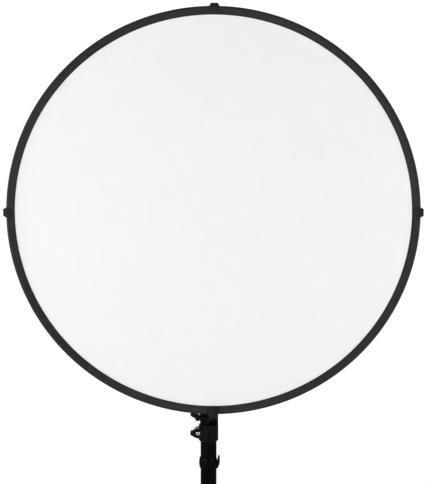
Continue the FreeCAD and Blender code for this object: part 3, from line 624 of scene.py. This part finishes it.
def rounded_outline(left, right, bottom, top, corner, steps):
    """A rectangle with round corners, as points from its lower right corner on."""
    left, right, bottom, top = left + corner, right - corner, bottom + corner, top - corner
    return (arc((right, bottom), corner, 270, 360, steps) + arc((right, top), corner, 0, 90, steps)
            + arc((left, top), corner, 90, 180, steps) + arc((left, bottom), corner, 180, 270, steps))


# %% [markdown]
# ## Edge binding
# The edge is one long tape folded over the sprung hoop and sewn through both cloths. Its section is thin at
# the seam and swells to the hoop's width at the fold. The half section is traced once and spun round the
# disc's own axis, then given the tape's thickness. The tape never lies quite flat, so it gets slow ripples
# of a tenth of a millimetre. Its UV map runs along the tape in metres, so the weave keeps its scale.

# %% Tape section
band_width = 16 * MM
cloth_thickness = 0.9 * MM
half_band = (band_high.y - band_low.y) / 2
seam_r = disc_r - band_width
side = [(-0.8, 1.4), (2.6, 2.4), (5.6, 3.45), (8.6, 4.4), (11.2, 4.72), (13.0, 4.74), (14.4, 4.35),
        (15.4, 3.3), (15.9, 1.8)]
section = [(seam_r + out, -deep) for out, deep in mm(side)] + [(disc_r, 0.0)]
section += [(seam_r + out, deep) for out, deep in mm(reversed(side))]
print("tape section", len(section), "points, half thickness", round(half_band / MM, 2), "mm")

# %% Spin the tape
binding = trace("woven_binding", [centre + Vector((0, y, -r)) for r, y in section])
bpy.ops.mesh.spin(steps=320, angle=2 * math.pi, center=centre, axis=(0, 1, 0), use_auto_merge=True)
leave()
tidy(binding)
co = np.zeros(len(binding.data.vertices) * 3)
binding.data.vertices.foreach_get("co", co)
co = co.reshape(-1, 3)
out_x, out_z = co[:, 0] - centre.x, co[:, 2] - centre.z
angle = np.arctan2(out_z, out_x)
radius = np.hypot(out_x, out_z)
depth = co[:, 1] - centre.y
rng = np.random.default_rng(7)
ripple = np.zeros(len(co))
for waves in (23, 41, 67, 101):
    ripple += np.sin(waves * angle + rng.uniform(0, 6.28)) * rng.uniform(0.5, 1.0)
middle = np.clip((radius - seam_r) / (8 * MM), 0, 1) * np.clip((disc_r - radius) / (4 * MM), 0, 1)
co[:, 1] += np.sign(depth) * ripple * 0.05 * MM * middle
binding.data.vertices.foreach_set("co", co.ravel())


# %% [markdown]
# ## Threads' direction as a UV map
# A UV map in metres is worked out from each corner's own place: the angle round the disc times its radius
# runs along the tape, and the distance along the section runs across it. The face that closes the circle
# would run back through the whole map, so its corners are lifted by one turn.

# %% UV maps
def write_uv(piece, corners):
    """Store (u, v) for every face corner in the UV map that the cloth finishes read."""
    layer = piece.data.uv_layers.get("threads") or piece.data.uv_layers.new(name="threads")
    layer.data.foreach_set("uv", np.asarray(corners, dtype=np.float32).ravel())


def corner_points(piece):
    """Each face corner's place, and the number of the face that it belongs to."""
    mesh = piece.data
    points = np.zeros(len(mesh.vertices) * 3)
    mesh.vertices.foreach_get("co", points)
    order = np.zeros(len(mesh.loops), dtype=np.int64)
    mesh.loops.foreach_get("vertex_index", order)
    sizes = np.zeros(len(mesh.polygons), dtype=np.int64)
    mesh.polygons.foreach_get("loop_total", sizes)
    return points.reshape(-1, 3)[order], np.repeat(np.arange(len(sizes)), sizes)


def ring_uv(piece, length_at):
    """u runs round the disc, v along the section, from length_at(radius, depth)."""
    places, faces = corner_points(piece)
    x, y, z = places[:, 0] - centre.x, places[:, 1] - centre.y, places[:, 2] - centre.z
    turn = np.arctan2(x, z)
    first = np.zeros(faces.max() + 1)
    first[faces[::-1]] = turn[::-1]
    turn = np.where(turn - first[faces] > math.pi, turn - 2 * math.pi, turn)
    turn = np.where(turn - first[faces] < -math.pi, turn + 2 * math.pi, turn)
    write_uv(piece, np.stack([turn * disc_r, length_at(np.hypot(x, z), y)], axis=1))


apply(binding, "SOLIDIFY", thickness=cloth_thickness, offset=-1.0, use_even_offset=True)
ring_uv(binding, lambda r, y: (np.where(np.abs(y) > 1e-6, np.sign(y), 1)
                               * (disc_r - r + 0.4 * (half_band - np.abs(y)))))
bpy.ops.object.shade_smooth_by_angle(angle=math.radians(50))
finished(binding, "binding", "reflector", "edge_binding")

# %% [markdown]
# ## Seam stitches
# Two rows of lock stitches hold the tape, one on each face, just inside the seam. Each stitch is a short
# thread that dips into the cloth at both ends. One is modelled from a cube of a few faces, and spin with
# copies repeats it round the disc.

# %% Model one stitch
def stitch(name, place, along, out, length, thick):
    """A short raised thread at place, running along a direction and standing out of the cloth."""
    bpy.ops.object.select_all(action="DESELECT")
    bpy.ops.mesh.primitive_cube_add(size=1)
    piece = bpy.context.object
    piece.name = name
    edit(piece)
    bpy.ops.mesh.select_all(action="SELECT")
    bpy.ops.transform.resize(value=(length, thick, thick))
    pick_faces(piece, lambda c, n: abs(n.x) > 0.9)
    bpy.ops.mesh.inset(thickness=thick * 0.2, depth=0)
    bpy.ops.transform.translate(value=(0, 0, -thick * 0.35))
    leave()
    apply(piece, "BEVEL", width=thick * 0.3, segments=1, limit_method="ANGLE")
    along, out = Vector(along), Vector(out)
    turn = Matrix((along, out.cross(along), out)).transposed().to_4x4()
    piece.data.transform(Matrix.Translation(place) @ turn)
    bpy.ops.object.shade_smooth_by_angle(angle=math.radians(60))
    return piece


def own_uv(piece):
    """A simple map for small straight pieces, in metres: across and up."""
    places, _ = corner_points(piece)
    write_uv(piece, np.stack([places[:, 0] + places[:, 1], places[:, 2]], axis=1))


stitches_round = 592
seam_stitch_length = 3.1 * MM
thread_thickness = 0.5 * MM
row_r = seam_r + 1.2 * MM
row_depth = 2.0 * MM
stitch_rows = []
for face in (-1, 1):
    place = centre + Vector((0, face * row_depth, -row_r))
    row = stitch("seam_row", place, (1, 0, 0), (0, face, 0), seam_stitch_length, thread_thickness)
    edit(row)
    bpy.ops.mesh.select_all(action="SELECT")
    bpy.ops.mesh.spin(steps=stitches_round, dupli=True, angle=2 * math.pi, center=centre, axis=(0, 1, 0))
    leave()
    stitch_rows.append(row)
seam_thread = join("seam_stitches", stitch_rows)
own_uv(seam_thread)
finished(seam_thread, "binding", "reflector", finish="thread")

# %% [markdown]
# ## Face sheets
# The white face and its silver back are cut round and sewn in under the tape, and the hoop pulls them
# tight as a drum. Only close to the seam does the cloth pucker, in short radial folds between the stitches.
# Each sheet starts as a circle that is extruded inwards ring by ring, so that the folds have vertices to
# move, and is given the cloth's thickness on its inner side.

# %% Build a sheet
rings_at_seam = (3, 6, 10, 15, 22, 32, 48)                  # millimetres in from the edge
rings_inside = (0.32, 0.28, 0.22, 0.15, 0.08, 0.03)         # metres from the centre
folds_round = (57, 84, 131, 163)
fold_height = 0.22


def face_sheet(name, node, facing, slot):
    """A taut round sheet in the place of a CAD sheet, with small folds near its seam."""
    low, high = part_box(node)
    radius = (high.x - low.x) / 2
    outer_y = low.y if facing < 0 else high.y
    around = 384
    bpy.ops.object.select_all(action="DESELECT")
    bpy.ops.mesh.primitive_circle_add(vertices=around, radius=radius, fill_type="NOTHING",
                                      location=(centre.x, outer_y, centre.z),
                                      rotation=(math.pi / 2, 0, 0))
    piece = bpy.context.object
    piece.name = name
    bpy.ops.object.transform_apply(location=True, rotation=True, scale=True)
    edit(piece)
    bpy.ops.mesh.select_all(action="SELECT")
    here = radius
    for there in [radius - inset * MM for inset in rings_at_seam] + list(rings_inside):
        bpy.ops.mesh.extrude_region_move(TRANSFORM_OT_translate={"value": (0, 0, 0)})
        ratio = there / here
        bpy.ops.transform.resize(value=(ratio, 1, ratio), center_override=(centre.x, outer_y, centre.z))
        here = there
    bpy.ops.mesh.extrude_region_move(TRANSFORM_OT_translate={"value": (0, 0, 0)})
    bpy.ops.mesh.merge(type="CENTER")
    leave()
    tidy(piece)
    mesh = piece.data
    places = np.zeros(len(mesh.vertices) * 3)
    mesh.vertices.foreach_get("co", places)
    places = places.reshape(-1, 3)
    x, z = places[:, 0] - centre.x, places[:, 2] - centre.z
    r, turn = np.hypot(x, z), np.arctan2(z, x)
    zone = np.clip((seam_r - 2 * MM - r) / (3 * MM), 0, 1) * np.exp(-np.clip(seam_r - r, 0, 1) / (14 * MM))
    chance = np.random.default_rng(11)
    fold = sum(np.sin(n * turn + chance.uniform(0, 6.28)) for n in folds_round) / len(folds_round)
    places[:, 1] += facing * zone * fold_height * (1 + fold) * MM
    mesh.vertices.foreach_set("co", places.ravel())
    if (mesh.polygons[0].normal.y > 0) != (facing > 0):
        mesh.flip_normals()
    apply(piece, "SOLIDIFY", thickness=0.45 * MM, offset=-1.0)
    corners, _ = corner_points(piece)
    write_uv(piece, np.stack([corners[:, 0] - centre.x, corners[:, 2] - centre.z], axis=1))
    bpy.ops.object.shade_smooth_by_angle(angle=math.radians(60))
    finished(piece, slot, "reflector", node)


face_sheet("white_face", "front_fabric", -1, "white_cloth")
face_sheet("silver_back", "back_fabric", 1, "silver_cloth")

# %% [markdown]
# ## Pull tabs
# Three short loops of webbing are sewn over the edge, at the top and at both sides. A loop starts on the
# front of the tape, runs over the rim, doubles back at its tip and ends on the back of the tape. Its path
# is traced from the side and extruded across the webbing's width, and the tip is drawn in a little.

# %% Webbing path
half_path = [(3.0, -2.95), (6.4, -4.15), (9.6, -5.2), (12.4, -5.36), (14.4, -5.2), (15.9, -4.3), (16.9, -2.9),
             (17.7, -1.6), (18.6, -1.2), (20.6, -1.15), (21.4, -0.8)]
path = half_path + [(21.6, 0.0)] + [(a, -b) for a, b in reversed(half_path)]
lengths = np.concatenate([[0], np.cumsum(np.hypot(*np.diff(np.array(path), axis=0).T))]) * MM
print("webbing length", round(lengths[-1] / MM, 1), "mm")


# %% Build a tab with its stitches
webbing_width = 19.5 * MM
webbing_thickness = 1.0 * MM
strips = 8
tip_narrowing = 0.24
tab_stitch_length = 2.0 * MM
tab_stitch_pitch = 2.5
box_x, box_low, box_high = 7.6, 4.4, 12.2       # stitched box, from the middle and from the seam
box_run = [(-box_x, box_low), (box_x, box_low), (box_x, box_high), (-box_x, box_high), (-box_x, box_low),
           (box_x, box_high)]


def tab_depth(r):
    """How far the webbing's front lies from the disc's middle plane, in millimetres."""
    return np.interp(r, [point[0] for point in half_path], [-point[1] for point in half_path])


def pull_tab(name, node, angle):
    """One folded webbing tab at the top of the disc, turned to its place round the disc."""
    points = [centre + Vector((-webbing_width / 2, y * MM, seam_r + r * MM)) for r, y in path]
    piece = trace(name, points)
    for _ in range(strips):
        bpy.ops.mesh.extrude_region_move(TRANSFORM_OT_translate={"value": (webbing_width / strips, 0, 0)})
    leave()
    mesh = piece.data
    places = np.zeros(len(mesh.vertices) * 3)
    mesh.vertices.foreach_get("co", places)
    places = places.reshape(-1, 3)
    proud = np.clip((places[:, 2] - centre.z - disc_r) / (5 * MM), 0, 1)
    places[:, 0] = centre.x + (places[:, 0] - centre.x) * (1 - tip_narrowing * proud)
    mesh.vertices.foreach_set("co", places.ravel())
    tidy(piece)
    apply(piece, "SOLIDIFY", thickness=webbing_thickness, offset=0.0, use_even_offset=True)
    corners, _ = corner_points(piece)
    flat = np.array(path) * MM
    offsets = np.stack([corners[:, 2] - centre.z - seam_r, corners[:, 1] - centre.y], axis=1)
    nearest = np.argmin(((offsets[:, None, :] - flat[None]) ** 2).sum(2), axis=1)
    write_uv(piece, np.stack([corners[:, 0] - centre.x, lengths[nearest]], axis=1))
    apply(piece, "SUBSURF", levels=1, render_levels=1)
    bpy.ops.object.shade_smooth_by_angle(angle=math.radians(50))
    turn = (Matrix.Translation(centre) @ Matrix.Rotation(angle, 4, "Y") @ Matrix.Translation(-centre))
    piece.data.transform(turn)
    finished(piece, "webbing", "reflector", node)
    threads = []
    for face in (-1, 1):
        for (ax, ar), (bx, br) in zip(box_run, box_run[1:]):
            count = max(2, round(math.hypot(bx - ax, br - ar) / tab_stitch_pitch))
            for k in range(count):
                t = (k + 0.5) / count
                x, r = ax + (bx - ax) * t, ar + (br - ar) * t
                lean = math.atan2(tab_depth(r + 1) - tab_depth(r), 1.0)
                deep = tab_depth(r) * MM + 0.52 * webbing_thickness
                out = Vector((0, face * math.cos(lean), -math.sin(lean)))
                way = Vector(((bx - ax), 0, (br - ar))).normalized()
                way = (way - out * way.dot(out)).normalized()
                at = centre + Vector((x * MM, face * deep, seam_r + r * MM))
                threads.append(stitch("thread", at, way, out, tab_stitch_length, thread_thickness))
    thread = join(name + "_stitches", threads)
    thread.data.transform(turn)
    own_uv(thread)
    finished(thread, "webbing", "reflector", finish="thread")


top_tab_lean = 0.0045
pull_tab("webbing_tab_top", "pull_tab_top", top_tab_lean)
pull_tab("webbing_tab_right", "pull_tab_right", math.pi / 2)
pull_tab("webbing_tab_left", "pull_tab_left", -math.pi / 2)

# %% [markdown]
# ## Tilt lever
# The lever that locks the tilt is moulded round a brass insert: a round hub on the bolt, and an arm that
# leans out and rises behind the disc. Both broad faces of the arm are hollowed, which leaves a rim round
# them, as a moulder does to keep the wall even. The outline is traced, extruded, inset and pushed in, and
# the grip ridges on the outer face are one small bar, copied.

# %% Tilt lever
def hollow(piece, facing, rim, deep):
    """Sink the flat faces that look along a direction, and leave a rim round them."""
    edit(piece)
    way = Vector(facing)
    pick_faces(piece, lambda c, n: n.dot(way) > 0.99)
    bpy.ops.mesh.inset(thickness=rim * MM, depth=0)
    bpy.ops.mesh.extrude_region_move(TRANSFORM_OT_translate={"value": -way * deep * MM})
    leave()


def bar(name, low, high):
    """A small straight ridge between two corners."""
    bpy.ops.object.select_all(action="DESELECT")
    low, high = Vector(low), Vector(high)
    bpy.ops.mesh.primitive_cube_add(size=1, location=(low + high) / 2, scale=high - low)
    piece = bpy.context.object
    piece.name = name
    bpy.ops.object.transform_apply(location=True, rotation=False, scale=True)
    return soften(piece, min(high - low) / MM * 0.42)


def copies(piece, step, count):
    """The piece and its copies, each a step further on."""
    made = [piece]
    for k in range(1, count):
        twin = piece.copy()
        twin.data = piece.data.copy()
        bpy.context.scene.collection.objects.link(twin)
        twin.data.transform(Matrix.Translation(Vector(step) * k))
        made.append(twin)
    return made


low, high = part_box("tilt_lever")
t, hub_in = tilt_at.z, high.x
arm_width = 7.8 * MM
half_depth = 4.6 * MM
heel = t + 4.4 * MM
crown_z = t + 44.8 * MM
neck = 6.3 * MM
hub_length = 8.5 * MM
outer, inner = low.x, low.x + arm_width
crown = arc(((outer + inner) / 2, crown_z), arm_width / 2, 180, 0, 8)
outline = [(hub_in - 0.6 * MM, t - neck), (outer, heel)] + crown
outline += [(inner, t + 14 * MM), (hub_in - 2.5 * MM, t + neck), (hub_in - 0.6 * MM, t + neck)]
arm = slab("arm", outline, -half_depth, half_depth)
hollow(arm, (0, -1, 0), 1.5, 1.3)
hollow(arm, (0, 1, 0), 1.5, 1.3)
soften(arm, 0.7)
hub = turned("hub", mm([(0, 0), (0, 5.2), (0.9, 6.6), (2.2, 7.0), (7.9, 7.0), (8.5, 6.6), (8.5, 0)]),
             Vector((hub_in - hub_length, 0, t)), (1, 0, 0))
soften(hub, 0.3)
grip = bar("grip", (outer - 0.5 * MM, -3.0 * MM, t + 22 * MM), (outer + 0.6 * MM, 3.0 * MM, t + 23.2 * MM))
lever = join("tilt_lever_moulding", [arm, hub] + copies(grip, (0, 0, 3.4 * MM), 7))
finished(lever, "moulded_black", "tilt_handle", "tilt_lever")

# %% [markdown]
# ## Pinch paddle
# The barrel is pinched by a paddle on a bright screw. Its front is sunk round a boss, so the screw's head
# sits in a dark ring, and its handle turns back along the barrel with ridges for the thumb.

# %% Pinch paddle
low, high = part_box("pinch_lever")
px, pz = pinch_at.x, pinch_at.z
hub_r, half = 10.6 * MM, 4.6 * MM
front, back = -18.9 * MM, -11.3 * MM
corner = 2 * MM
lean = math.degrees(math.asin((hub_r - half) / (px - low.x)))
outline = arc((px, pz), hub_r, -90 - lean, 90 + lean, 28)
outline += arc((low.x + corner, pz + half - corner), corner, 90, 180, 4)
outline += arc((low.x + corner, pz - half + corner), corner, 180, 270, 4)
face = slab("paddle_face", outline, front, back)
hollow(face, (0, -1, 0), 1.5, 1.2)
soften(face, 0.5)
boss = turned("boss", mm([(0, 0), (0, 5.6), (0.4, 6.0), (2.0, 6.0), (2.0, 0)]),
              Vector((px, front, pz)), (0, 1, 0))
soften(boss, 0.2)
handle_inner = -31.6 * MM
handle = slab("paddle_handle", rounded_outline(low.x, handle_inner, pz - half, pz + half, corner, 4),
              front, high.y)
soften(handle, 1.2, 3)
grip = bar("grip", (low.x - 0.4 * MM, front + 2.2 * MM, pz - 2.6 * MM),
           (low.x + 0.6 * MM, front + 3.2 * MM, pz + 2.6 * MM))
paddle = join("pinch_paddle", [face, boss, handle] + copies(grip, (0, 2.2 * MM, 0), 4))
finished(paddle, "moulded_black", "pinch", "pinch_lever")

# %% [markdown]
# ## Clamp knob
# The rear jaw is driven by a small knob with ten finger flutes. Its rim is traced as a wavy outline and
# extruded, its edges are rounded, and a turned dish is cut out of its outer face.

# %% Clamp knob
low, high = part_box("clamp_knob")
kx, kz = (low.x + high.x) / 2, (low.z + high.z) / 2
knob_r, flute_depth, flutes, rim_steps = 8.5 * MM, 1.1 * MM, 10, 120
outline = []
for k in range(rim_steps):
    a = 2 * math.pi * k / rim_steps
    r = knob_r - flute_depth * max(0.0, math.cos(flutes * a)) ** 1.5
    outline.append((kx + r * math.cos(a), kz + r * math.sin(a)))
knob = slab("clamp_knob_moulding", outline, low.y, high.y)
soften(knob, 0.45, 2, 50)
dish_depth = 0.9 * MM
dish = turned("dish", mm([(0, 0), (0, 5.6), (0.9, 6.2), (2, 6.2), (2, 0)]),
              Vector((kx, high.y - dish_depth, kz)), (0, 1, 0))
apply(knob, "BOOLEAN", operation="DIFFERENCE", object=dish, solver="EXACT")
bpy.data.objects.remove(dish)
finished(knob, "moulded_black", "clamp_wheel", "clamp_knob")

# %% [markdown]
# ## Socket T-bar
# The stand socket is tightened by a T-bar: a ribbed hub on the screw and a cross bar that is thicker at
# its ends. Both are turned parts, spun from half sections.

# %% Socket T-bar
low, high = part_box("base_knob")
screw = Vector(joints["socket_knob_turn"]["pos_m"])
hub = turned("hub", mm([(0, 0), (0, 6.6), (1.2, 7.8), (2.6, 8.0), (3.2, 7.2), (3.8, 8.0), (5.2, 8.0),
                        (5.8, 7.2), (6.4, 8.0), (10.5, 8.0), (12.4, 6.4), (13, 4.0), (13, 0)]),
             Vector((low.x, 0, screw.z)), (1, 0, 0))
soften(hub, 0.25)
half_bar = arc((24 * MM, 0), 4 * MM, 90, 0, 8)
profile = [(-a, r) for a, r in reversed(half_bar)]
profile += mm([(-18, 3.7), (-9, 3.2), (9, 3.2), (18, 3.7)]) + half_bar
cross = turned("cross", profile, Vector((high.x - 4 * MM, 0, screw.z)), (0, 1, 0), 32)
soften(cross, 0.2)
t_bar = join("socket_t_bar", [hub, cross])
finished(t_bar, "moulded_black", "socket_knob", "base_knob")

# %% [markdown]
# ## Flip lever of the lock collar
# The cam lever lies in the collar's notch, and its free end stands a little off the riser so that a thumb
# can get under it. Ridges across its outer face stop the thumb from slipping.

# %% Flip lever
low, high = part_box("collar_lever")
pivot = Vector(joints["flip_lever_hinge"]["pos_m"])
outer = high.x
outline = arc((pivot.x - 0.3 * MM, pivot.z), 3.0 * MM, 180, 300, 8)
outline += [(outer - 1.2 * MM, pivot.z - 1.5 * MM), (outer, pivot.z + 1.5 * MM)]
outline += [(outer + 0.2 * MM, high.z - 3 * MM), (outer + 0.3 * MM, high.z - 1.0 * MM)]
outline += [(outer - 0.6 * MM, high.z), (outer - 2.4 * MM, high.z)]
outline += [(pivot.x, high.z - 1.0 * MM), (pivot.x - 0.1 * MM, pivot.z + 4 * MM)]
flip = slab("flip", outline, low.y, high.y)
soften(flip, 0.5)
grip = bar("grip", (outer - 0.4 * MM, -3.4 * MM, pivot.z + 5 * MM),
           (outer + 0.6 * MM, 3.4 * MM, pivot.z + 5.8 * MM))
flip = join("flip_lever_moulding", [flip] + copies(grip, (0, 0, 2.0 * MM), 5))
finished(flip, "moulded_black", "flip_lever", "collar_lever")

# %% [markdown]
# ## Front jaw and small screws
# A smooth plate laps over the front of the edge, held from below by two countersunk screws with hexagon
# sockets. The same turned head, with its socket pushed in, is used for the two button screws that hold the
# riser's outer tube on its socket.

# %% Front jaw
low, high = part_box("front_jaw")
jaw = slab("front_jaw_plate", rounded_outline(low.x, high.x, low.z, high.z, 2.4 * MM, 5), low.y, high.y)
soften(jaw, 0.8, 3)
finished(jaw, "moulded_black", "tilter", "front_jaw", finish="jaw_black")


# %% Screws with hexagon sockets
def socket_screw(name, origin, axis, section, socket_r, socket_depth):
    """A turned screw whose head has a hexagon socket. The section starts at the head's face."""
    body = turned(name, section, origin, axis, 32)
    soften(body, 0.12)
    key = slab("key", arc((origin.x, origin.z), socket_r, 0, 300, 5), origin.y - socket_depth,
               origin.y + socket_depth)
    apply(body, "BOOLEAN", operation="DIFFERENCE", object=key, solver="EXACT")
    bpy.data.objects.remove(key)
    return body


low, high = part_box("front_jaw_screws")
head_r = 2.6 * MM
countersunk = mm([(0, 0), (0, 2.5), (1.3, 1.5), (8.9, 1.5), (8.9, 0)])
screws = [socket_screw("jaw_screw", Vector((x, low.y + 0.02 * MM, (low.z + high.z) / 2)), (0, 1, 0),
                       countersunk, 1.15 * MM, 0.9 * MM) for x in (low.x + head_r, high.x - head_r)]
jaw_screws = join("jaw_socket_screws", screws)
finished(jaw_screws, "black_steel", "tilter", "front_jaw_screws")

low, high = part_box("tube_screws")
button = mm([(0, 0), (0, 1.9), (0.5, 2.9), (1.2, 3.4), (1.8, 3.5), (1.8, 2.0), (8.7, 2.0), (8.7, 0)])
screws = [socket_screw("tube_screw", Vector((0, y, (low.z + high.z) / 2)), (0, way, 0),
                       button, 1.3 * MM, 1.1 * MM) for y, way in ((low.y, 1), (high.y, -1))]
tube_buttons = join("tube_button_screws", screws)
finished(tube_buttons, "black_steel", "base", "tube_screws")

# %% Sizes of the two models
box_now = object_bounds()
plain = lambda pair: [[float(v) for v in corner] for corner in pair]
{"cad": plain(cad_box), "visual": plain(box_now)}
print("visual box", plain(box_now))
